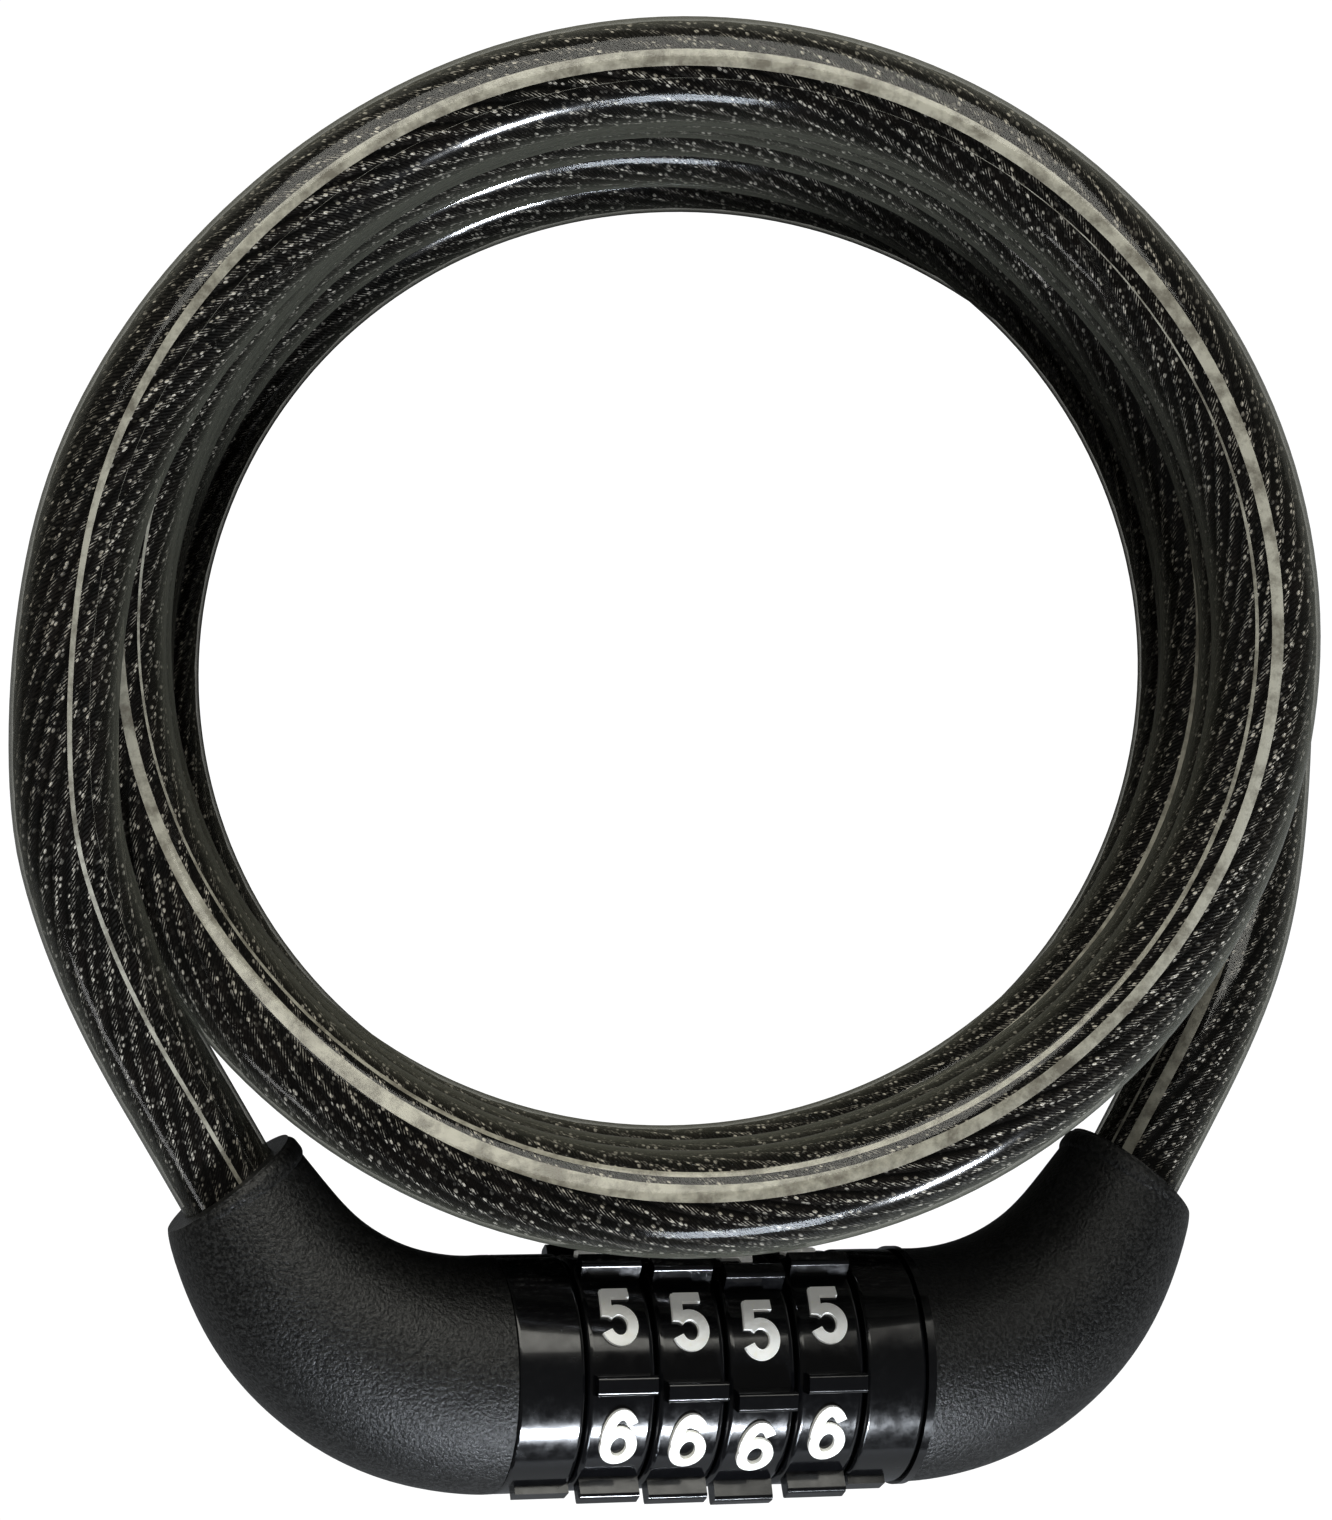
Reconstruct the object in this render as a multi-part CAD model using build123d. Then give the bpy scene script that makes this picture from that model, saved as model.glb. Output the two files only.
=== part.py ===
from build123d import *
import os
from math import cos, pi, radians, sin, tan

# Coiled combination cable lock, in millimetres, +Z up.
# It lies flat: the coil's axis is Z and the origin is where that axis meets the surface.
# The lock body bridges the two cable ends on the -Y side, with its left end the higher.

# ---- driving dimensions ----
CABLE_R = 5.0            # sheathed cable, 10 mm across
COIL_OUT = (60.0, 58.3)  # half widths of the coil's outside, along X and Y
COIL_IN = (47.0, 46.3)   # half widths of the clear space inside it
COIL_MID = 1.4           # the coil's middle lies this far along Y
COIL_HIGH = 60.0         # six layers of cable
LAST_LAYER_OUT = 65.2    # how far the last layer flares out to +X
LAYER = 10.0

LOCK_AT = (2.6, -68.6, 27.4)  # middle of the four dials
LOCK_TILT = 17.0              # degrees, right end down
DIAL_PITCH = 6.9
DIAL_WIDE = 6.6
DIAL_R = 11.2
DIAL_EDGE = 0.6
RIB_R = 13.2
RIB_WIDE = 1.9
RIB_SHORT = 0.8      # how much shorter a rib is than its dial is wide
RIBS = 6
DIAL_TURNS = (1.6, 4.9, 10.0, 2.8)  # degrees that each dial is turned from its index mark
DIAL_BORE = 8.2
COLLAR_EDGE = 0.4

TUBE_R = 5.5       # the barrel tube that the dials turn on
PIN_R = 3.5
PIN_TIP = -13.4
RUN = 0.05         # radial running clearance
SLOT_WIDE = 2.4    # for the pin's lugs
LUG_R = 6.7
LUG_WIDE = 2.0
LUG_LONG = 1.7
LUG_FROM_DIAL = 1.9
RELIEF_R = 6.95    # the clutch rings' clear space round the lugs
SPRING_FLAT = 4.2  # from the axis to the flat that the index spring lies on
BUMP_R = 1.15

NUB_LEAN = 68.0    # degrees from the top round to the index nubs

BODY_R = 11.3      # collars and the wide end of the sleeves
MOUTH_R = 7.1      # the sleeves' narrow end
LIP_HIGH = 0.35
LIP_LONG = 2.4
TAPER = 1.6        # over 1, the sleeve stays wide round its bend and narrows late
BEND_R = 24.0
BEND = 60.0        # degrees that each sleeve turns the cable
MOUTH_SKEW = 9.0   # degrees that the mouth's rim faces further outward than the cable
MOUTH_RUN = 7.4    # straight stretch before the mouth
CABLE_DEPTH = 6.8  # how far the cable goes into a sleeve
HEAD_R = 8.5
HEAD_LONG = 4.6
CORE_R = 4.5
WIRE_R = 2.0
WIRE_LONG = 6.0
CROSS_PIN_R = 0.8

HALF_STACK = 2 * DIAL_PITCH
LEFT_FACE = -HALF_STACK - 6.6   # left collar against left sleeve
COLLAR_END = HALF_STACK + 6.1   # right collar's outer face
BEZEL_LONG = 0.8
PLUG_FACE = COLLAR_END + 0.9    # right sleeve's face
LEFT_SIDE = (LEFT_FACE, -1, 0.8)  # face, direction along the axis, straight stretch
RIGHT_SIDE = (PLUG_FACE, 1, 0.4)
TUBE_START = LEFT_FACE - 3.0
PIN_ROOT = PLUG_FACE + 3.2

LOCK = Pos(*LOCK_AT) * Rot(0, LOCK_TILT, 0)
DIAL_AT = [(i - 1.5) * DIAL_PITCH for i in range(4)]


def save(name, shape):
    shape.label = name
    export_step(shape, f"parts/{name}.step")


def rod(x0, x1, radius):
    """A round bar along the lock's axis."""
    return Pos((x0 + x1) / 2, 0, 0) * Rot(0, 90, 0) * Cylinder(radius, abs(x1 - x0))


def ring(x0, x1, outer, inner):
    return rod(x0, x1, outer) - rod(x0 - 1, x1 + 1, inner)


def bar_below(x0, x1, wide, depth):
    """A bar from the axis down, where the slot and the lugs are."""
    return Pos((x0 + x1) / 2, 0, -depth / 2) * Box(x1 - x0, wide, depth)


def slot(x0, x1, reach):
    return bar_below(x0, x1, SLOT_WIDE, reach)


# ---- the sleeves ----
def bend_path(side, mouth_run):
    """A sleeve's centre line: from the barrel outward, round the bend and along towards the mouth."""
    face, way, straight = side
    turn = radians(BEND)
    start = Vector(face, 0, 0)
    knee = start + Vector(way * straight, 0, 0)
    out = knee + Vector(way * BEND_R * sin(turn), BEND_R * (1 - cos(turn)), 0)
    end = out + Vector(way * cos(turn), sin(turn), 0) * mouth_run
    bend = Edge.make_tangent_arc(knee, Vector(way, 0, 0), out)
    return Wire([Edge.make_line(start, knee), bend, Edge.make_line(out, end)])


def section(path, share):
    """The plane across the path, with its x direction square to the bend."""
    return Plane(origin=path @ share, x_dir=(0, 0, 1), z_dir=path % share)


def bar_along(path, radius):
    return sweep(section(path, 0) * Circle(radius), path=path)


def head(side, depth, radius, over=0.0):
    """A round bar from a sleeve's face into it."""
    face, way, _ = side
    return rod(face - way * over, face + way * depth, radius)


def sleeve(side):
    """A tapered elbow moulded over the cable's end fitting, with a rounded lip at its mouth."""
    path = bend_path(side, MOUTH_RUN)
    skin = []
    for share in (0, 0.08, 0.2, 0.35, 0.5, 0.65, 0.8, 0.9):
        skin.append(section(path, share) * Circle(BODY_R - (BODY_R - MOUTH_R) * share**TAPER))
    mouth = section(path, 1)
    rim = Plane(mouth.origin, x_dir=mouth.x_dir, z_dir=mouth.z_dir.rotate(Axis.Z, -side[1] * MOUTH_SKEW))
    skin.append(rim * Circle(MOUTH_R))
    lip = Cylinder(MOUTH_R + LIP_HIGH, LIP_LONG)
    lip = rim * Pos(0, 0, -LIP_LONG / 2) * fillet(lip.edges().filter_by(GeomType.CIRCLE), 0.9)
    bore = mouth * Pos(0, 0, -CABLE_DEPTH / 2 + 1) * Cylinder(CABLE_R + RUN, CABLE_DEPTH + 2)
    shank = bar_along(bend_path(side, MOUTH_RUN - CABLE_DEPTH + 0.5), CORE_R)
    return loft(skin) + lip - bore - shank - head(side, HEAD_LONG, HEAD_R, over=1)


def wire_end_frame(side):
    return section(bend_path(side, MOUTH_RUN - CABLE_DEPTH), 1)


def cross_pin(side, long):
    return wire_end_frame(side) * Pos(0, 0, -WIRE_LONG / 2) * Rot(0, 90, 0) * Cylinder(CROSS_PIN_R, long)


def wire_end(side):
    """The cable's bare steel wire, where it goes on into the fitting."""
    bar = wire_end_frame(side) * Pos(0, 0, -WIRE_LONG / 2) * Cylinder(WIRE_R, WIRE_LONG)
    return bar - cross_pin(side, 20)


def elbow_core(side, socket_r, socket_long):
    """The cast fitting inside a sleeve: a head, a bent shank and a hole for the cable's wire."""
    core = bar_along(bend_path(side, MOUTH_RUN - CABLE_DEPTH), CORE_R) + head(side, HEAD_LONG, HEAD_R)
    wire_hole = wire_end_frame(side) * Pos(0, 0, -WIRE_LONG / 2 + 0.5) * Cylinder(WIRE_R, WIRE_LONG + 1)
    return core - head(side, socket_long, socket_r, over=1) - wire_hole - cross_pin(side, 20)


# ---- the barrel ----
def collar_body(x0, x1):
    """A gloss end collar with rounded rims."""
    body = ring(x0, x1, BODY_R, TUBE_R)
    rims = body.edges().filter_by(GeomType.CIRCLE).filter_by(lambda e: e.radius > BODY_R - 0.01)
    return fillet(rims, COLLAR_EDGE)


def index_nub(x0, x1):
    return Rot(NUB_LEAN, 0, 0) * Pos((x0 + x1) / 2, 0, BODY_R) * Box(x1 - x0, 1.8, 1.6)


def barrel_tube():
    """The core tube: slotted for the lugs, with a flat for the index spring and a snap ring groove."""
    tube = ring(TUBE_START, COLLAR_END, TUBE_R, PIN_R + RUN)
    tube -= slot(PIN_TIP + 1, COLLAR_END + 1, TUBE_R + 1)
    tube -= Pos(0, 0, SPRING_FLAT + 1) * Box(2 * HALF_STACK, SLOT_WIDE, 2)
    return tube - ring(COLLAR_END - 1.4, COLLAR_END - 0.6, TUBE_R + 1, TUBE_R - 0.5)


def index_spring():
    """A leaf on the tube's flat, with a round bump under each dial."""
    leaf = Pos(0, 0, SPRING_FLAT + 0.15) * Box(2 * HALF_STACK - 0.4, SLOT_WIDE - 0.2, 0.3)
    for x in DIAL_AT:
        bump = Pos(x - 1.2, 0, SPRING_FLAT + 0.3) * Rot(90, 0, 0) * Cylinder(BUMP_R, SLOT_WIDE - 0.2)
        leaf += bump & Pos(x - 1.2, 0, SPRING_FLAT + 1.05) * Box(3, 3, 2.1)
    return leaf


def dial(x, turn):
    body = ring(x - DIAL_WIDE / 2, x + DIAL_WIDE / 2, DIAL_R, DIAL_BORE)
    rims = body.edges().filter_by(GeomType.CIRCLE).filter_by(lambda e: e.radius > DIAL_R - 0.01)
    body = fillet(rims, DIAL_EDGE)
    for k in range(RIBS):
        high = RIB_R - DIAL_BORE - 1
        rib = Pos(x, 0, RIB_R - high / 2) * Box(DIAL_WIDE - RIB_SHORT, RIB_WIDE, high)
        rib = fillet(rib.edges().filter_by(Axis.X).group_by(Axis.Z)[-1], 0.45)
        body += Rot(k * 360 / RIBS + turn, 0, 0) * rib
    return body


def clutch_ring(x):
    """The ring inside a dial: a land with one notch, a clear space for the lug, and a groove for the bump."""
    x0, x1 = x - DIAL_WIDE / 2 + 0.05, x + DIAL_WIDE / 2 - 0.05
    land_end = x + LUG_FROM_DIAL - 1.3
    body = ring(x0, x1, DIAL_BORE, TUBE_R + RUN)
    body -= rod(land_end, x1 + 1, RELIEF_R)
    body -= rod(x - 1.2 - BUMP_R - 0.3, x - 1.2 + BUMP_R + 0.3, SPRING_FLAT + 0.3 + BUMP_R + 0.12)
    return body - bar_below(x0 - 1, x1 + 1, SLOT_WIDE, RELIEF_R)


def locking_pin():
    pin = rod(PIN_TIP, PIN_ROOT, PIN_R)
    tip = pin.edges().filter_by(GeomType.CIRCLE).sort_by(Axis.X)[0]
    pin = chamfer(tip, 1.0)
    for x in DIAL_AT:
        at = x + LUG_FROM_DIAL
        pin += bar_below(at - LUG_LONG / 2, at + LUG_LONG / 2, LUG_WIDE, LUG_R)
    return pin


def snap_ring():
    body = ring(COLLAR_END - 1.35, COLLAR_END - 0.65, TUBE_R + 1.6, TUBE_R - 0.4)
    return body - slot(COLLAR_END - 3, COLLAR_END + 1, TUBE_R + 3)


def ejector_spring():
    """The compression spring that pushes the pin out of the tube when the code is set."""
    wire, long = 0.35, PIN_TIP - TUBE_START - 0.9
    coil = Helix(pitch=long / 5, height=long, radius=PIN_R - wire - 0.2)
    turns = sweep(Plane(origin=coil @ 0, z_dir=coil % 0) * Circle(wire), path=coil)
    return Pos(TUBE_START + 0.45, 0, 0) * Rot(0, 90, 0) * turns


# ---- the cable ----
def cord(points):
    """A plain tube on straight runs joined by arcs as large as the runs allow."""
    points = [Vector(*p) for p in points]
    runs = [b - a for a, b in zip(points, points[1:])]
    radii = []
    for before, after in zip(runs, runs[1:]):
        half = radians(before.get_angle(after)) / 2
        radii.append(0.45 * min(before.length, after.length) / tan(half))
    path = FilletPolyline(*points, radius=radii)
    tube = sweep(Plane(origin=path @ 0, z_dir=path % 0) * Circle(CABLE_R), path=path)
    print("cable bends", [round(r) for r in radii], "mm, tube", round(path.length, 1),
          "mm, volume over section times length", round(tube.volume / (path.length * pi * CABLE_R**2), 4))
    return tube


def oval(size, low, high):
    return Pos(0, COIL_MID, low) * extrude(Ellipse(*size), high - low)


def block(low, high):
    size = [b - a for a, b in zip(low, high)]
    middle = [(a + b) / 2 for a, b in zip(low, high)]
    return Pos(*middle) * Box(*size)


def cable_coil():
    """The outer shape of the stacked turns, stepped where the first turn begins and the last one ends."""
    flare = LAST_LAYER_OUT - COIL_OUT[0]
    last = Pos(flare / 2, 0, 0) * oval((COIL_OUT[0] + flare / 2, COIL_OUT[1]), 0, LAYER)
    body = oval(COIL_OUT, 0, COIL_HIGH) + last - oval(COIL_IN, -1, COIL_HIGH + 1)
    for low, high in COIL_STEPS:
        body -= block(low, high)
    return body - LOCK * rod(-60, 60, RIB_R + 0.4)


# Corners of the clear steps where the first turn comes down from the left sleeve, where it has not yet
# closed, and where the last turn leaves for the right sleeve.
COIL_STEPS = [((-70, -70, 39.4), (-30, -13.5, 61)), ((-31, -70, 52), (70, 0, 61)),
              ((47.5, -70, -1), (70, -13.5, 12)), ((20, -70, -1), (70, -40, 12))]

# Route points of the two stretches between the coil and the sleeves.
LEFT_ROUTE = [(-49.4, -35.2, 45.6), (-53.4, -24.8, 49.8), (-55.2, -15.6, 53.6)]
RIGHT_ROUTE = [(54.6, -35.0, 11.3), (58.4, -25.5, 8.3), (60.4, -14.9, 5.5)]


def route(side, points):
    """From inside a sleeve, out of its mouth and on through the points, in the row's frame."""
    mouth = section(bend_path(side, MOUTH_RUN), 1)
    first = [(LOCK * mouth.location * Pos(0, 0, d)).position for d in (-CABLE_DEPTH, 3.0)]
    print("route starts", [tuple(round(c, 2) for c in p) for p in first])
    return [tuple(p) for p in first] + points


def make_parts():
    os.makedirs("parts", exist_ok=True)
    on_lock = {
        "left_sleeve": sleeve(LEFT_SIDE),
        "left_elbow_core": elbow_core(LEFT_SIDE, TUBE_R, 3.0),
        "left_wire_end": wire_end(LEFT_SIDE),
        "left_anchor_pin": cross_pin(LEFT_SIDE, 2 * CORE_R - 0.1),
        "right_sleeve": sleeve(RIGHT_SIDE),
        "right_elbow_core": elbow_core(RIGHT_SIDE, PIN_R, 3.2),
        "right_wire_end": wire_end(RIGHT_SIDE),
        "right_anchor_pin": cross_pin(RIGHT_SIDE, 2 * CORE_R - 0.1),
        "plug_bezel": ring(PLUG_FACE - BEZEL_LONG, PLUG_FACE, BODY_R + 0.25, PIN_R + 3),
        "barrel_tube": barrel_tube(),
        "index_spring": index_spring(),
        "ejector_spring": ejector_spring(),
        "snap_ring": snap_ring(),
        "locking_pin": locking_pin(),
    }
    left_collar = collar_body(LEFT_FACE, -HALF_STACK - 0.15)
    right_collar = collar_body(HALF_STACK + 0.15, COLLAR_END)
    right_collar -= slot(HALF_STACK - 1, COLLAR_END + 1, RELIEF_R)
    right_collar -= rod(COLLAR_END - 1.6, COLLAR_END + 1, TUBE_R + 2)
    on_lock["left_collar"] = left_collar + index_nub(LEFT_FACE + 1.2, -HALF_STACK - 0.15)
    on_lock["right_collar"] = right_collar + index_nub(HALF_STACK + 0.15, COLLAR_END - 2.2)
    for number, (x, turn) in enumerate(zip(DIAL_AT, DIAL_TURNS), 1):
        on_lock[f"dial_{number}"] = dial(x, turn)
        on_lock[f"clutch_ring_{number}"] = clutch_ring(x)
    for name, shape in on_lock.items():
        save(name, LOCK * shape)
    save("cable_left_tail", cord(route(LEFT_SIDE, LEFT_ROUTE)))
    save("cable_right_tail", cord(route(RIGHT_SIDE, RIGHT_ROUTE)))
    save("cable_coil", cable_coil())


make_parts()
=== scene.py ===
# %% [markdown]
# # A coiled combination cable lock
# The lock is a length of steel cable in a clear sheath, wound in stacked turns, with a barrel of number
# dials joining its two ends. The solid parts come ready made from the CAD frame. This lesson adds what
# CAD leaves plain: the twisted wires under the sheath, the reflective tape, the raised figures on the
# dials, and every finish.

# %% Load the fixed frame
import math

import bmesh
import bpy
import numpy as np
from mathutils import Matrix, Vector


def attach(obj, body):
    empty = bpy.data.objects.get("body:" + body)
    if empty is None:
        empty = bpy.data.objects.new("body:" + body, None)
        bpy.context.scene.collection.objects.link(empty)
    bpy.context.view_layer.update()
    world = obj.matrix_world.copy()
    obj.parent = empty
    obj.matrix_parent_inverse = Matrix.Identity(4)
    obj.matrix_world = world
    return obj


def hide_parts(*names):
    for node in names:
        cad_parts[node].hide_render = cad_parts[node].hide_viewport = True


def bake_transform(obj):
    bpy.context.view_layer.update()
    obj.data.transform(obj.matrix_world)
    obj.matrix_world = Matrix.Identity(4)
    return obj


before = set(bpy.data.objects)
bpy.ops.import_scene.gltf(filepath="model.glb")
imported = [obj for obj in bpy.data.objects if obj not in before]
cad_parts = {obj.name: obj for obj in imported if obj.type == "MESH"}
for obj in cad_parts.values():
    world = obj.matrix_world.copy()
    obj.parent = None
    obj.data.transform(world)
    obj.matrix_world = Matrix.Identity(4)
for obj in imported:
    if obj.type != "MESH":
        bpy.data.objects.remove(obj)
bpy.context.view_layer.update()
MM = 0.001

# %% [markdown]
# ## The camera
# The lock lies flat and is looked at from almost straight above, a little from the lock body's side.
# A long lens from close by keeps the turns in mild perspective, so each lower turn looks smaller.

# %% Camera
aim = Vector((0, -11.1 * MM, 52 * MM))
distance, elevation = 417 * MM, math.radians(86.8)
camera_data = bpy.data.cameras.new("camera")
camera_data.sensor_width = 36
camera_data.lens = 107.6
camera = bpy.data.objects.new("camera", camera_data)
bpy.context.scene.collection.objects.link(camera)
away = Vector((0, -math.cos(elevation), math.sin(elevation)))
camera.location = aim + away * distance
camera.rotation_euler = away.to_track_quat("Z", "Y").to_euler()
bpy.context.scene.camera = camera

# %% [markdown]
# ## The cable's line
# The cable is one curve from sleeve to sleeve. Out of each sleeve it follows a few given points.
# In between it is a coil, so a loop works out its points: twenty-four to a turn, each at a radius and a
# height eased between the quarters of that turn. A smooth NURBS spline of order 3 runs through the bends
# the way a stiff cable does. Its order is set after its points, or Blender keeps it straight.

# %% Route points, as in the CAD
LEFT_END = [(-37.84, -56.08, 39.76), (-42.52, -47.59, 41.20), (-49.4, -35.2, 45.6), (-53.4, -24.8, 49.8),
            (-55.2, -15.6, 53.6)]
RIGHT_END = [(60.4, -14.9, 5.5), (58.4, -25.5, 8.3), (54.6, -35.0, 11.3), (47.72, -47.59, 13.60),
             (43.04, -56.08, 15.04)]
# Radius of the cable's centre line at the left, far, right and near side of each turn, top turn first.
TURNS = [(54.3, 52.1, 55.2, 51.9), (51.7, 53.6, 55.2, 51.2), (52.3, 55.0, 52.6, 50.1),
         (53.5, 55.1, 53.5, 51.4), (54.3, 53.8, 52.5, 51.7), (52.8, 53.0, 60.7)]
# The first turn is seen whole and the last one swings out late, so both have a radius at each eighth.
FIRST_TURN = (54.3, 51.3, 52.1, 54.0, 55.2, 53.7, 51.9, 51.4, 51.7)
LAST_TURN = (52.8, 53.1, 53.0, 55.2, 60.7)
# How far each quarter of a turn lies below the start of that turn.
DROPS = (0, 0, 3, 8)
CABLE_R = 5.0
LAYER = 10.0
STEPS = 6  # points to a quarter turn
FIRST_TURN_ENDS, LAST_TURN_STARTS = 4, 20  # in quarter turns


def eased(values, place):
    """A smooth curve through evenly spaced values (Catmull-Rom)."""
    i = min(int(place), len(values) - 2)
    t = place - i
    a, b, c, d = (values[min(max(j, 0), len(values) - 1)] for j in (i - 1, i, i + 1, i + 2))
    return 0.5 * (2 * b + (c - a) * t + (2 * a - 5 * b + 4 * c - d) * t**2 + (3 * b - a - 3 * c + d) * t**3)


def coil_points():
    radii = [r for turn in TURNS for r in turn]
    heights = [CABLE_R + LAYER * (len(TURNS) - 1 - k) - drop for k in range(len(TURNS)) for drop in DROPS]
    heights = [max(h, CABLE_R) for h in heights][:len(radii)]
    # An order 3 spline runs a little inside its control points, so they stand that much further out.
    outward = 1 / (0.75 + 0.25 * math.cos(math.pi / 2 / STEPS))
    points = []
    for k in range((len(radii) - 1) * STEPS + 1):
        place = k / STEPS
        angle = math.pi - place * math.pi / 2
        if place < FIRST_TURN_ENDS:
            r = eased(FIRST_TURN, 2 * place)
        elif place < LAST_TURN_STARTS:
            r = eased(radii, place)
        else:
            r = eased(LAST_TURN, 2 * (place - LAST_TURN_STARTS))
        points.append((outward * r * math.cos(angle), outward * r * math.sin(angle), eased(heights, place)))
    return points


def nurbs_line(points, resolution):
    """The points along an order 3 NURBS spline through these control points, as Blender works them out."""
    data = bpy.data.curves.new("route", "CURVE")
    data.dimensions = "3D"
    data.resolution_u = resolution
    spline = data.splines.new("NURBS")
    spline.points.add(len(points) - 1)
    for point, place in zip(spline.points, points):
        point.co = (*place, 1)
    spline.order_u = 3
    spline.use_endpoint_u = True
    holder = bpy.data.objects.new("route", data)
    bpy.context.scene.collection.objects.link(holder)
    mesh = bpy.data.meshes.new_from_object(holder.evaluated_get(bpy.context.evaluated_depsgraph_get()))
    line = np.array([tuple(v.co) for v in mesh.vertices])
    bpy.data.objects.remove(holder)
    return line


def evenly(line, gap):
    """The same line with its points a fixed gap apart."""
    lengths = np.concatenate([[0], np.cumsum(np.linalg.norm(np.diff(line, axis=0), axis=1))])
    at = np.linspace(0, lengths[-1], int(round(lengths[-1] / gap)) + 1)
    return np.stack([np.interp(at, lengths, line[:, k]) for k in range(3)], axis=1)


def run(points):
    """The length of a line of points."""
    return float(np.linalg.norm(np.diff(points, axis=0), axis=1).sum())


GAP = 1.8 * MM
SPLINE_STEPS = 24
control = [Vector(p) * MM for p in LEFT_END + coil_points() + RIGHT_END]
line = evenly(nurbs_line(control, SPLINE_STEPS), GAP)
print("cable length", round(run(line), 4), "m")

# %% [markdown]
# ## A frame along the line
# Wires and tape lie round the cable, so each point of the line gets two directions across it: one as
# nearly up as the cable allows, one away from the coil's middle. The cable's pieces are made in two parts,
# split a quarter turn after the left side, where the run from the left sleeve has joined the coil.

# %% Directions along the cable
along = np.gradient(line, axis=0)
along /= np.linalg.norm(along, axis=1)[:, None]
up = np.array([0, 0, 1]) - along[:, 2:3] * along
up /= np.linalg.norm(up, axis=1)[:, None]
outward = np.cross(up, along)
travelled = np.arange(len(line)) * GAP
START_TURN, SPLIT_TURN = -0.15, 0.25
# Turns made since the cable passed the left side, counted at each point.
swept = np.unwrap(np.arctan2(line[:, 1], line[:, 0]))
turns_made = (math.pi - swept + (2 * math.pi if swept[0] > math.pi else 0)) / (2 * math.pi)
turns_made -= round(float(turns_made[0]) - START_TURN)
split = int(np.argmin(np.abs(turns_made - SPLIT_TURN)))
LEFT_PART, COIL_PART = slice(0, split + 1), slice(split, len(line))
print("turns at the ends", round(float(turns_made[0]), 2), round(float(turns_made[-1]), 2), "split", split)


def round_cable(part, angle, radius):
    """Points at this angle from up towards outward, and this far from the cable's centre."""
    angle = np.broadcast_to(angle, len(line))[part]
    across = up[part] * np.cos(angle)[:, None] + outward[part] * np.sin(angle)[:, None]
    return line[part] + across * radius


def mesh_object(name, points, faces, uvs=None):
    """A smooth-shaded mesh in the scene, with a UV map if its points have UVs."""
    data = bpy.data.meshes.new(name)
    data.from_pydata([tuple(p) for p in points], [], faces)
    if uvs is not None:
        layer = data.uv_layers.new(name="UVMap")
        loops = np.empty(len(data.loops), int)
        data.loops.foreach_get("vertex_index", loops)
        layer.data.foreach_set("uv", np.asarray(uvs)[loops].ravel())
    data.polygons.foreach_set("use_smooth", [True] * len(data.polygons))
    obj = bpy.data.objects.new(name, data)
    bpy.context.scene.collection.objects.link(obj)
    return obj


def rings_to_faces(rings, sides):
    """Quads between rings of points, each ring closed on itself."""
    faces = []
    for start in range(0, (rings - 1) * sides, sides):
        for k in range(sides):
            a, b = start + k, start + (k + 1) % sides
            faces.append((a, b, b + sides, a + sides))
    return faces

# %% [markdown]
# ## The sheath
# The sheath is an extruded PVC tube, clear but smoked. A tube mesh on the line gives its skin. It could be
# a bevelled curve, but a mesh can also be blended between the two bodies when the lock is opened.

# %% Sheath tubes
SHEATH_SIDES = 32


def sheath(name, part):
    sides = np.arange(SHEATH_SIDES) * 2 * math.pi / SHEATH_SIDES
    rings = [round_cable(part, a, CABLE_R * MM) for a in sides]
    points = np.stack(rings, axis=1).reshape(-1, 3)
    return mesh_object(name, points, rings_to_faces(len(rings[0]), SHEATH_SIDES))


left_sheath = sheath("cable_left_sheath", LEFT_PART)
coil_sheath = sheath("cable_coil_sheath", COIL_PART)

# %% [markdown]
# ## The wires
# Under the sheath eighteen dark strands are laid side by side at a shallow angle. They are one mesh: its
# outline has eighteen round lobes and turns as it goes along, so each lobe is a strand. The fine wires
# of a strand are left to the material. It reads the UV map, which counts strands round the cable in U
# and centimetres along it in V.

# %% Wire strands
STRANDS = 18
STRAND_AT = 3.95 * MM
STRAND_R = 0.68 * MM
LAY = 92 * MM  # the length in which a strand goes once round the cable
CENTIMETRE = 10 * MM
ACROSS = (-1.0, -0.6, -0.2, 0.2, 0.6)  # where a strand's outline has points, from edge to edge


def strands(name, part):
    rings, turns = [], []
    for s in range(STRANDS):
        for place in ACROSS:
            around = (s + place / 2) / STRANDS
            out = STRAND_AT + STRAND_R * math.sqrt(1 - place**2)
            rings.append(round_cable(part, 2 * math.pi * (around - travelled / LAY), out))
            turns.append(s + place / 2)
    points = np.stack(rings, axis=1).reshape(-1, 3)
    uvs = [(turn, far / CENTIMETRE) for far in travelled[part] for turn in turns]
    return mesh_object(name, points, rings_to_faces(len(rings[0]), len(rings)), uvs)


left_strands = strands("cable_left_strands", LEFT_PART)
coil_strands = strands("cable_coil_strands", COIL_PART)
print("strand faces", len(left_strands.data.polygons), len(coil_strands.data.polygons))

# %% [markdown]
# ## The reflective tape
# A grey tape runs along the wires, just under the sheath, with a narrow thread beside it. Both drift round
# the cable as it twists, and the strands cover more or less of them. Each is a narrow strip bent to the
# bundle's round, whose angle and width ease along the turns.

# %% Tapes
TAPE_R = 4.74 * MM
TAPE_POINTS = 5  # across its width
THREAD_LEAN = math.radians(23)
TAPE_STARTS = -0.25  # a quarter turn before the first left side
# Degrees from up, positive away from the coil's middle, at each eighth of a turn from there. The tape keeps
# near the top of the cable, and the thread lies inside it.
TAPE_LEANS = (-20, -18, -12, 5, 4, 5, 6, -4, -15, -28, -14, -6, 0, 4, 0, -8, -14, -18, -10, 0, 4, 4, 0, -8,
              -12, -14, -8, 0, 4, 4, 0, -6, -12, -12, -6, 0, 4, 2, 0, -6, -10, -10, -6, 0, 0, -6, -14, -22,
              -30, -32)
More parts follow.
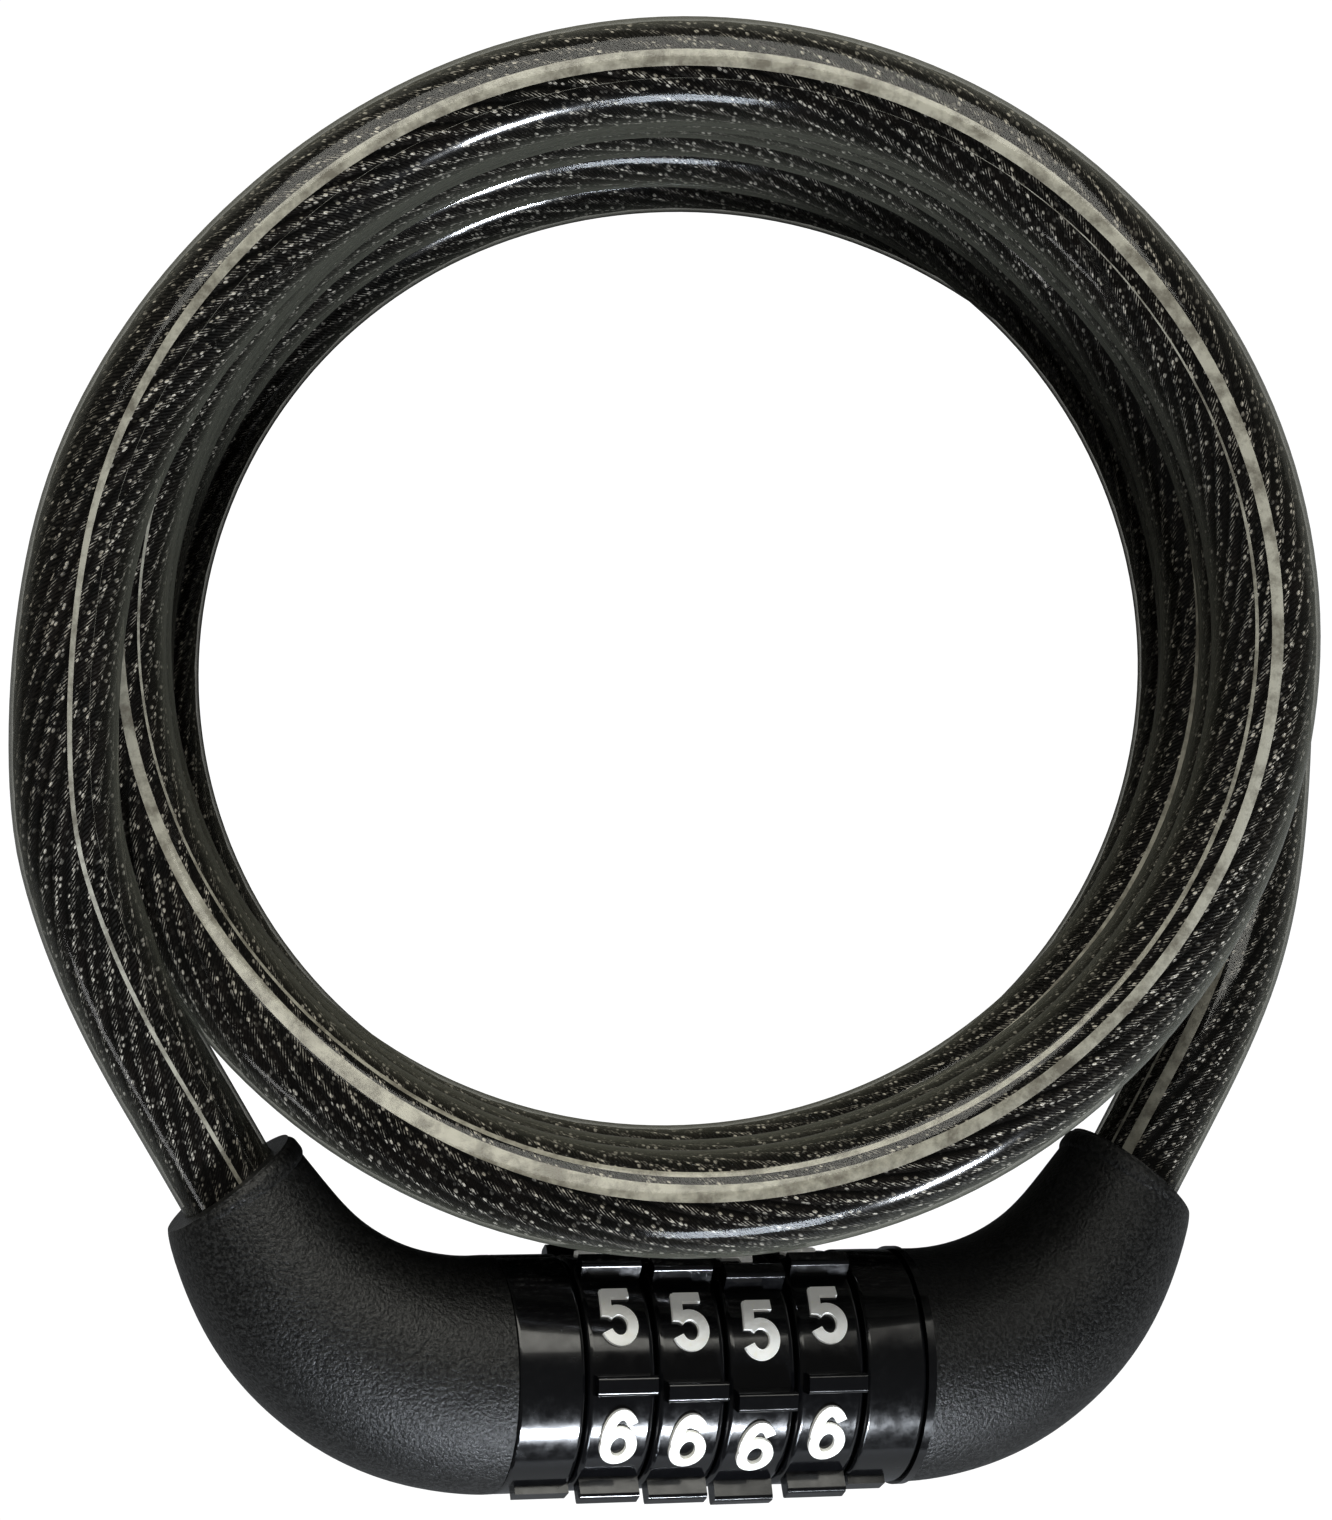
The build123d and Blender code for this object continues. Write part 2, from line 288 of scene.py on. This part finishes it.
# How much of the tape the strands leave clear, mm, at each eighth turn from the same start.
TAPE_WIDTHS = (0.4, 0.4, 0.5, 1.1, 1.6, 1.35, 1.1, 1.15, 1.7, 1.5, 0.95, 1.2, 1.3, 1.1, 1.2)


def each_eighth(values):
    """Values given at each eighth of a turn, eased to every point. The last one lasts to the end."""
    places = np.clip(8 * (turns_made - TAPE_STARTS), 0, len(values) - 1.001)
    return np.array([eased(values, place) for place in places])


def tape(name, part, angle, width):
    places = np.linspace(0, 1, TAPE_POINTS)
    rows = [round_cable(part, angle + (place - 0.5) * width / TAPE_R, TAPE_R) for place in places]
    points = np.stack(rows, axis=1).reshape(-1, 3)
    uvs = [(place, far / CENTIMETRE) for far in travelled[part] for place in places]
    faces = [(a, a + 1, a + 1 + TAPE_POINTS, a + TAPE_POINTS)
             for i in range(len(rows[0]) - 1) for a in range(i * TAPE_POINTS, (i + 1) * TAPE_POINTS - 1)]
    return mesh_object(name, points, faces, uvs)


lean = np.radians(each_eighth(TAPE_LEANS))
tape_width = each_eighth(TAPE_WIDTHS) * MM
thread_shown = np.clip((turns_made - 0.33) / 0.15, 0, 1)  # the thread only comes up after the far side
thread_width = (0.02 + (0.42 + 0.16 * np.sin(turns_made * 11)) * thread_shown) * MM
tapes = {}
for label, part in (("left", LEFT_PART), ("coil", COIL_PART)):
    tapes[label] = [tape(f"cable_{label}_tape", part, lean, tape_width),
                    tape(f"cable_{label}_thread", part, lean - THREAD_LEAN, thread_width)]
print("tape width, mm", round(tape_width.min() / MM, 2), "to", round(tape_width.max() / MM, 2))

# %% [markdown]
# ## Materials
# Every finish is procedural. Small helpers add nodes to a material and end it with the usual shader, so
# each finish below only says what makes it different.

# %% Material helpers
def new_material(name):
    """An empty node material and its output's surface socket."""
    material = bpy.data.materials.new(name)
    material.use_nodes = True
    nodes = material.node_tree.nodes
    nodes.clear()
    output = nodes.new("ShaderNodeOutputMaterial")
    return material, output.inputs["Surface"]


def add(material, kind, inputs=(), **settings):
    """A shader node with values set, or sockets linked, on its named inputs."""
    node = material.node_tree.nodes.new("ShaderNode" + kind)
    for key, value in settings.items():
        setattr(node, key, value)
    for key, value in dict(inputs).items():
        if isinstance(value, bpy.types.NodeSocket):
            material.node_tree.links.new(value, node.inputs[key])
        else:
            node.inputs[key].default_value = value
    return node


def ramp(material, fac, stops):
    """Colours at places from 0 to 1 along a value."""
    node = add(material, "ValToRGB", {"Fac": fac})
    elements = node.color_ramp.elements
    for _ in range(len(stops) - 2):
        elements.new(0.5)
    for element, (at, colour) in zip(elements, stops):
        element.position = at
        element.color = colour if len(colour) == 4 else (*colour, 1)
    return node.outputs["Color"]


def grey(value):
    return (value, value, value, 1)


def noise(material, place, scale, detail, roughness=0.5):
    settings = {"Vector": place, "Scale": scale, "Detail": detail, "Roughness": roughness}
    return add(material, "TexNoise", settings).outputs["Fac"]


def bumped(material, height, distance, strength):
    settings = {"Height": height, "Distance": distance, "Strength": strength}
    return add(material, "Bump", settings).outputs["Normal"]


def times(material, one, other):
    """Two greys or colours multiplied."""
    settings = {"Fac": 1.0, "Color1": one, "Color2": other}
    return add(material, "MixRGB", settings, blend_type="MULTIPLY").outputs[0]


def finish(material, surface, tint, rough, normal, **extra):
    """The usual shader on the material's surface. extra sets more of its inputs, with _ for a space."""
    settings = {"Base Color": tint, "Roughness": rough, "Normal": normal}
    settings.update({name.replace("_", " "): value for name, value in extra.items()})
    shader = add(material, "BsdfPrincipled", settings)
    material.node_tree.links.new(shader.outputs["BSDF"], surface)
    return material

# %% [markdown]
# The sleeves are injection-moulded nylon, spark-eroded in the mould to a fine matt grain. The collars and
# dials are glossy ABS. Both get faint scuffs from use: slightly smoother and greyer patches.

# %% Plastics
def grained_plastic(name, colour, roughness, grain, depth):
    material, surface = new_material(name)
    place = add(material, "TexCoord").outputs["Object"]
    fine = noise(material, place, grain, 3.0, 0.6)
    worn = noise(material, place, 90.0, 4.0)
    tint = ramp(material, fine, [(0.42, [c * 0.3 for c in colour]), (0.62, [c * 2.8 for c in colour])])
    rough = ramp(material, worn, [(0.35, grey(roughness * 1.08)), (0.7, grey(roughness * 0.92))])
    return finish(material, surface, tint, rough, bumped(material, fine, depth, 1.0))


def gloss_plastic(name, colour, roughness):
    material, surface = new_material(name)
    place = add(material, "TexCoord").outputs["Object"]
    flow = noise(material, place, 160.0, 2.0)
    scuffs = noise(material, place, 700.0, 5.0, 0.7)
    rough = ramp(material, scuffs, [(0.4, grey(roughness)), (0.72, grey(roughness + 0.14))])
    return finish(material, surface, (*colour, 1), rough, bumped(material, flow, 0.12 * MM, 0.8),
                  Coat_Weight=0.5, Coat_Roughness=0.08)


sleeve_plastic = grained_plastic("sleeve_grain", (0.012, 0.012, 0.0115), 0.36, 2900.0, 0.16 * MM)
collar_plastic = gloss_plastic("gloss_black", (0.006, 0.0062, 0.007), 0.16)
dial_plastic = gloss_plastic("dial_black", (0.006, 0.0062, 0.0075), 0.14)

# %% [markdown]
# The hidden works are metal. Zinc parts are die cast and tumbled, so they are dull with a slight pebble.
# Pins, springs and wire ends are drawn or turned steel, with fine lines round them.

# %% Metals
def metal(name, colour, roughness, scale, stretch, depth):
    material, surface = new_material(name)
    place = add(material, "TexCoord").outputs["Object"]
    squeezed = add(material, "Mapping", {"Vector": place, "Scale": stretch}).outputs["Vector"]
    marks = noise(material, squeezed, scale, 5.0, 0.65)
    tint = ramp(material, marks, [(0.3, [c * 0.7 for c in colour]), (0.7, colour)])
    rough = ramp(material, marks, [(0.3, grey(roughness * 1.3)), (0.7, grey(roughness))])
    return finish(material, surface, tint, rough, bumped(material, marks, depth, 0.6), Metallic=1.0)


zinc = metal("zinc", (0.52, 0.53, 0.55), 0.42, 900.0, (1, 1, 1), 0.06 * MM)
brass = metal("brass_ring", (0.80, 0.58, 0.28), 0.3, 700.0, (4, 1, 1), 0.03 * MM)
pin_steel = metal("pin_steel", (0.62, 0.62, 0.63), 0.24, 500.0, (8, 1, 1), 0.03 * MM)
wire_steel = metal("wire_steel", (0.5, 0.5, 0.5), 0.3, 900.0, (3, 3, 1), 0.04 * MM)
spring_steel = metal("spring_steel", (0.55, 0.53, 0.5), 0.26, 600.0, (6, 1, 1), 0.03 * MM)

# %% [markdown]
# ## The cable's finishes
# The sheath is clear when you look straight in and grey-green towards its edges, where you look through
# more of it. Its skin reflects more at a slant. The strands are black oiled wire: their bump draws the
# fine wires, slanting round each strand, and the sparkle on them is painted: pale dots and streaks of
# painted highlight in their colour. The tape is a little dirty.

# %% Cable materials
def sheath_material():
    material, surface = new_material("cable_sheath")
    place = add(material, "TexCoord").outputs["Object"]
    normal = bumped(material, noise(material, place, 120.0, 2.0), 0.25 * MM, 0.5)
    clear = add(material, "BsdfTransparent", {"Color": (0.90, 0.90, 0.87, 1)})
    smoke = add(material, "BsdfPrincipled", {"Base Color": (0.125, 0.126, 0.100, 1), "Roughness": 0.6,
                                             "Normal": normal})
    edge = add(material, "LayerWeight", {"Blend": 0.5}).outputs["Facing"]
    depth = ramp(material, edge,
                 [(0.15, grey(0.005)), (0.36, grey(0.08)), (0.60, grey(0.5)), (0.9, grey(0.92))])
    body = add(material, "MixShader", {0: depth, 1: clear.outputs[0], 2: smoke.outputs[0]})
    skin = add(material, "BsdfGlossy", {"Color": grey(1.0), "Roughness": 0.12, "Normal": normal})
    # Schlick's form of Fresnel, which treats both faces of the tube's wall alike.
    steep = add(material, "Math", {0: edge, 1: 6.0}, operation="POWER")
    mirror = add(material, "Math", {0: steep.outputs[0], 1: 0.5, 2: 0.04}, operation="MULTIPLY_ADD")
    whole = add(material, "MixShader", {0: mirror.outputs[0], 1: body.outputs[0], 2: skin.outputs[0]})
    material.node_tree.links.new(whole.outputs[0], surface)
    return material


def strand_material():
    material, surface = new_material("cable_strands")
    uv = add(material, "SeparateXYZ", {0: add(material, "UVMap", uv_map="UVMap").outputs["UV"]})
    place = add(material, "TexCoord").outputs["Object"]
    # Six wires show side by side on a strand and slant across it, nearly four strands' width a centimetre.
    slant = add(material, "Math", {0: uv.outputs["Y"], 1: 3.9, 2: uv.outputs["X"]},
                operation="MULTIPLY_ADD")
    wire_place = add(material, "CombineXYZ", {"X": slant.outputs[0], "Y": uv.outputs["Y"]}).outputs[0]
    wires = add(material, "TexWave",
                {"Vector": wire_place, "Scale": 1.6, "Distortion": 0.7, "Detail": 1.0, "Detail Scale": 3.0},
                bands_direction="X").outputs["Fac"]
    # How far from the top of its strand a point lies: 0 on top, 0.5 in the groove between two.
    off_top = add(material, "Math", {0: uv.outputs["X"], 1: 0.5}, operation="PINGPONG").outputs[0]
    # Painted highlight: pale streaks on the tops of the wires along each strand's crown, in patches.
    top = ramp(material, off_top, [(0.0, grey(1)), (0.08, grey(1)), (0.15, grey(0.12)), (0.35, grey(0))])
    wire_tops = ramp(material, wires, [(0.55, grey(0)), (0.80, grey(1))])
    catch = ramp(material, noise(material, place, 1300.0, 3.0, 0.75), [(0.44, grey(0)), (0.56, grey(1))])
    painted_streaks = times(material, times(material, top, wire_tops), catch)
    # Painted highlights where the wires' crowns would catch the light: pale dots, in rows along each
    # strand, about 17 to the centimetre.
    across = add(material, "Math", {0: uv.outputs["X"], 1: 4.0, 2: 0.5}, operation="MULTIPLY_ADD")
    down = add(material, "Math", {0: uv.outputs["Y"], 1: 17.0}, operation="MULTIPLY")
    dot_place = add(material, "CombineXYZ", {"X": across.outputs[0], "Y": down.outputs[0]}).outputs[0]
    cells = add(material, "TexVoronoi", {"Vector": dot_place, "Scale": 1.0, "Randomness": 0.7})
    dots = ramp(material, cells.outputs["Distance"], [(0.27, grey(1)), (0.43, grey(0))])
    chance = add(material, "SeparateXYZ", {0: cells.outputs["Color"]}).outputs["X"]
    strength = ramp(material, chance, [(0.30, grey(0.06)), (0.66, grey(1))])
    crown = ramp(material, off_top,
                 [(0.0, grey(1)), (0.20, grey(1)), (0.34, grey(0.35)), (0.5, grey(0.1))])
    painted_dots = times(material, times(material, dots, strength), crown)
    # The painted dots and streaks are added, then mixed into the dark base colour towards warm white.
    painted_glints = add(material, "MixRGB", {"Fac": 0.6, "Color1": painted_dots, "Color2": painted_streaks}, blend_type="ADD")
    oil = noise(material, place, 260.0, 3.0)
    dark = ramp(material, oil, [(0.35, (0.002, 0.0017, 0.0014)), (0.7, (0.014, 0.010, 0.009))])
    painted_glint_mix = {"Fac": painted_glints.outputs[0], "Color1": dark, "Color2": (1.0, 0.94, 0.88, 1)}
    tint = add(material, "MixRGB", painted_glint_mix)
    rough = ramp(material, off_top, [(0.1, grey(0.30)), (0.4, grey(0.65))])
    return finish(material, surface, tint.outputs[0], rough, bumped(material, wires, 0.16 * MM, 1.0),
                  Specular_IOR_Level=0.12)


def tape_material():
    material, surface = new_material("cable_tape")
    uv = add(material, "UVMap", uv_map="UVMap").outputs["UV"]
    place = add(material, "TexCoord").outputs["Object"]
    dirt = noise(material, place, 380.0, 6.0, 0.7)
    tint = ramp(material, dirt, [(0.38, (0.29, 0.27, 0.24)), (0.58, (0.66, 0.64, 0.59))])
    creases = noise(material, uv, 14.0, 2.0)
    return finish(material, surface, tint, 0.5, bumped(material, creases, 0.1 * MM, 0.4))


sheath_clear = sheath_material()
for pieces, material in (((left_sheath, coil_sheath), sheath_clear),
                         ((left_strands, coil_strands), strand_material()),
                         ((*tapes["left"], *tapes["coil"]), tape_material())):
    for obj in pieces:
        obj.data.materials.append(material)

# %% [markdown]
# ## Finishes of the CAD parts
# Every CAD part arrives with one plain material, named after what it is made of. The finish of that name
# takes its place. The cable's solids get one too, though the pieces above stand in for them.

# %% Give each CAD part its finish
FINISHES = {"sleeve_grain": sleeve_plastic, "gloss_black": collar_plastic, "dial_black": dial_plastic,
            "zinc": zinc, "brass_ring": brass, "pin_steel": pin_steel, "wire_steel": wire_steel,
            "spring_steel": spring_steel, "cable_sheath": sheath_clear}
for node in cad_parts.values():
    slot = node.data.materials[0].name.split(".")[0]
    node.data.materials[0] = FINISHES[slot]

# %% [markdown]
# ## The raised figures
# Each dial is moulded with six figures, one between each pair of ribs, standing a third of a millimetre
# proud, and painted off-white. A figure is a few strokes, each a line with a flat ribbon along it. Type
# would do for plain digits, but strokes give these their bold round shape. The ribbons are bent round the
# dial and turned to where the dial stands.

# %% Raised figures
LOCK_AT = Vector((2.6, -68.6, 27.4)) * MM
LOCK_TILT = math.radians(17)
LOCK_FRAME = Matrix.Translation(LOCK_AT) @ Matrix.Rotation(LOCK_TILT, 4, "Y")
DIAL_PITCH = 6.9 * MM
DIAL_R = 11.2 * MM
DIAL_TURNS = (1.6, 4.9, 10.0, 2.8)  # degrees that each dial stands past straight up
FIGURE_TALL = 6.0 * MM
FIGURE_WIDE = 3.75 * MM
FIGURE_PROUD = 0.38 * MM
FIGURE_ROOT = 0.15 * MM  # how far its sides reach into the dial
FIGURE_STROKE = 1.12 * MM
CHAMFER = 0.9  # a stroke's width at its top, as a share of its width at the foot
FIRST_LEAN = 27  # degrees from the rib on top to the middle of the first figure
# The first figure is the one on the lock's near side, and the rest follow it round underneath.
FIGURES = "612345"


def arc(x, y, rx, ry, start, end):
    """Points along part of an ellipse, angles in degrees."""
    return [(x + rx * math.cos(math.radians(a)), y + ry * math.sin(math.radians(a)))
            for a in np.linspace(start, end, 28)]


# Each figure's strokes, as lines down their middles in a box from -1 to 1 both ways.
STROKES = {
    "1": [[(0.25, -1.16), (0.25, 1.16)], [(0.25, 0.86), (-0.45, 0.45)]],
    "2": [arc(0, 0.42, 0.95, 0.58, 170, -35) + [(-0.9, -0.80)], [(-1.2, -1.0), (1.1, -1.0)]],
    "3": [arc(-0.05, 0.50, 0.85, 0.50, 165, -90), arc(-0.05, -0.45, 1.0, 0.55, 90, -160)],
    "4": [[(0.55, -1.16), (0.55, 1.0)], [(0.60, 1.05), (-1.0, -0.45)], [(-1.15, -0.48), (1.2, -0.48)]],
    "5": [[(1.0, 1.0), (-0.92, 1.0)], [(-0.70, 1.15), (-0.88, -0.02)],
          arc(-0.04, -0.38, 1.0, 0.62, 142, -158)],
    "6": [arc(0, -0.36, 0.97, 0.64, 0, 360), arc(0.06, -0.02, 1.03, 1.02, 38, 184)],
}


def figure_material():
    material, surface = new_material("figure_paint")
    place = add(material, "TexCoord").outputs["Object"]
    patches = noise(material, place, 1500.0, 4.0)
    tint = ramp(material, patches, [(0.33, (0.90, 0.88, 0.80)), (0.50, (1.0, 1.0, 0.96))])
    # A faint glow, painted light that the real paint has not got, keeps the paint off-white in the shade of
    # the coil.
    return finish(material, surface, tint, 0.45, bumped(material, patches, 0.08 * MM, 0.5),
                  Emission_Color=(1.0, 0.99, 0.94, 1), Emission_Strength=0.16)


FINE = 0.15  # of half a figure


def finely(stroke):
    """The stroke with its straight parts cut short enough to follow the dial."""
    points = []
    for a, b in zip(stroke, stroke[1:]):
        steps = max(1, int(math.dist(a, b) / FINE))
        points += [(a[0] + (b[0] - a[0]) * i / steps, a[1] + (b[1] - a[1]) * i / steps)
                   for i in range(steps)]
    return points + [stroke[-1]]


def add_stroke(whole, middle, bend):
    """One stroke as a raised ribbon. bend puts a flat point and a height on the dial."""
    middle = np.array(middle) * ((FIGURE_WIDE - FIGURE_STROKE) / 2, (FIGURE_TALL - FIGURE_STROKE) / 2)
    way = np.gradient(middle, axis=0)
    way /= np.linalg.norm(way, axis=1)[:, None]
    side = np.stack([-way[:, 1], way[:, 0]], axis=1) * FIGURE_STROKE / 2
    rows = []
    for point, reach in zip(middle, side):
        edge = [(point + reach, 0), (point + reach * CHAMFER, 1),
                (point - reach * CHAMFER, 1), (point - reach, 0)]
        rows.append([whole.verts.new(bend(*place, high)) for place, high in edge])
    for a, b in zip(rows, rows[1:]):
        for k in range(3):
            whole.faces.new((a[k], a[k + 1], b[k + 1], b[k]))
    whole.faces.new(rows[0])
    whole.faces.new(rows[-1][::-1])


def figures(dial, paint):
    """All six figures of one dial, bent round it and joined in one mesh."""
    middle = (dial - 2.5) * DIAL_PITCH
    turn = DIAL_TURNS[dial - 1]
    whole = bmesh.new()
    for k, letter in enumerate(FIGURES):
        # Angle from straight up, positive towards the lock's near side.
        centre = math.radians(FIRST_LEAN + 60 * k + turn)

        def bend(x, y, high):
            angle = centre - y / DIAL_R
            r = DIAL_R + (FIGURE_PROUD if high else -FIGURE_ROOT)
            return (middle + x, -r * math.sin(angle), r * math.cos(angle))

        for stroke in STROKES[letter]:
            add_stroke(whole, finely(stroke), bend)
    bmesh.ops.recalc_face_normals(whole, faces=whole.faces)
    data = bpy.data.meshes.new(f"dial_{dial}_figures")
    whole.to_mesh(data)
    whole.free()
    obj = bpy.data.objects.new(data.name, data)
    bpy.context.scene.collection.objects.link(obj)
    data.transform(LOCK_FRAME)
    data.materials.append(paint)
    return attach(obj, f"dial_{dial}")


paint = figure_material()
dial_figures = [figures(dial, paint) for dial in (1, 2, 3, 4)]
print("figures", [len(f.data.polygons) for f in dial_figures])

# %% [markdown]
# ## What the cable pieces move with
# The lock opens by sliding the plug out of the barrel. The coil goes with the plug, and on the real lock
# the short run of cable from the barrel's sleeve bends between the two. Here that run's pieces stay where
# they lie, on no body, and the coil's sheath, strands, tape and thread ride on the plug.

# %% Cable pieces and the bodies
for obj in (left_sheath, left_strands, *tapes["left"]):
    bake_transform(obj)
for obj in (coil_sheath, coil_strands, *tapes["coil"]):
    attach(obj, "plug")
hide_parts("cable_left_tail")
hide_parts("cable_coil", "cable_right_tail")

# %% [markdown]
# ## Light and backdrop
# The lock lies on a white table in a dim light tent: the table burns out to white, and a broad soft box
# hangs beyond the coil. Two small windows on the lock's side glint on the dials and the sheath.

# %% Backdrop
TABLE_HALF, TABLE_Z = 3, -1.5 * MM
corners = [(x * TABLE_HALF, y * TABLE_HALF, TABLE_Z) for x, y in ((-1, -1), (1, -1), (1, 1), (-1, 1))]
floor_mesh = bpy.data.meshes.new("table")
floor_mesh.from_pydata(corners, [], [(0, 1, 2, 3)])
floor = bpy.data.objects.new("table", floor_mesh)
bpy.context.scene.collection.objects.link(floor)
# It is burnt out to white for the eye, while what the lock reflects of it is plain grey card.
white, surface = new_material("white_table")
glow = add(white, "Emission", {"Color": grey(1.0), "Strength": 1.05})
card = add(white, "BsdfDiffuse", {"Color": grey(0.3)})
seen = add(white, "LightPath").outputs["Is Camera Ray"]
both = add(white, "MixShader", {0: seen, 1: card.outputs[0], 2: glow.outputs[0]})
white.node_tree.links.new(both.outputs[0], surface)
floor_mesh.materials.append(white)

# %% Tent, view and lamps
world = bpy.data.worlds.new("tent")
bpy.context.scene.world = world
world.use_nodes = True
sky = world.node_tree.nodes["Background"]
sky.inputs["Color"].default_value = (1.0, 1.0, 0.97, 1)
sky.inputs["Strength"].default_value = 0.08
bpy.context.scene.view_settings.view_transform = "Standard"
bpy.context.scene.view_settings.gamma = 0.85


def lamp(name, place, towards, size, power, colour=(1, 1, 1)):
    """A rectangular lamp. Places and sizes are in metres, its power in watts."""
    data = bpy.data.lights.new(name, "AREA")
    data.shape = "RECTANGLE"
    data.size, data.size_y = size
    data.energy = power
    data.color = colour
    obj = bpy.data.objects.new(name, data)
    bpy.context.scene.collection.objects.link(obj)
    obj.location = place
    obj.rotation_euler = (Vector(place) - Vector(towards)).to_track_quat("Z", "Y").to_euler()


lamp("window", (0.26, -0.645, 0.36), (0, 0, 0.03), (0.10, 0.08), 5.5, (0.88, 0.93, 1.0))
lamp("low window", (0.05, -0.90, 0.42), (0, -0.06, 0.03), (0.26, 0.26), 2.9, (0.84, 0.91, 1.0))
lamp("side lamp", (-0.26, -0.26, 0.12), (0, -0.07, 0.03), (0.05, 0.05), 0.03)
lamp("back panel", (0.0, 0.75, 0.75), (0, 0, 0.03), (1.4, 0.85), 13.0, (1.0, 0.99, 0.92))
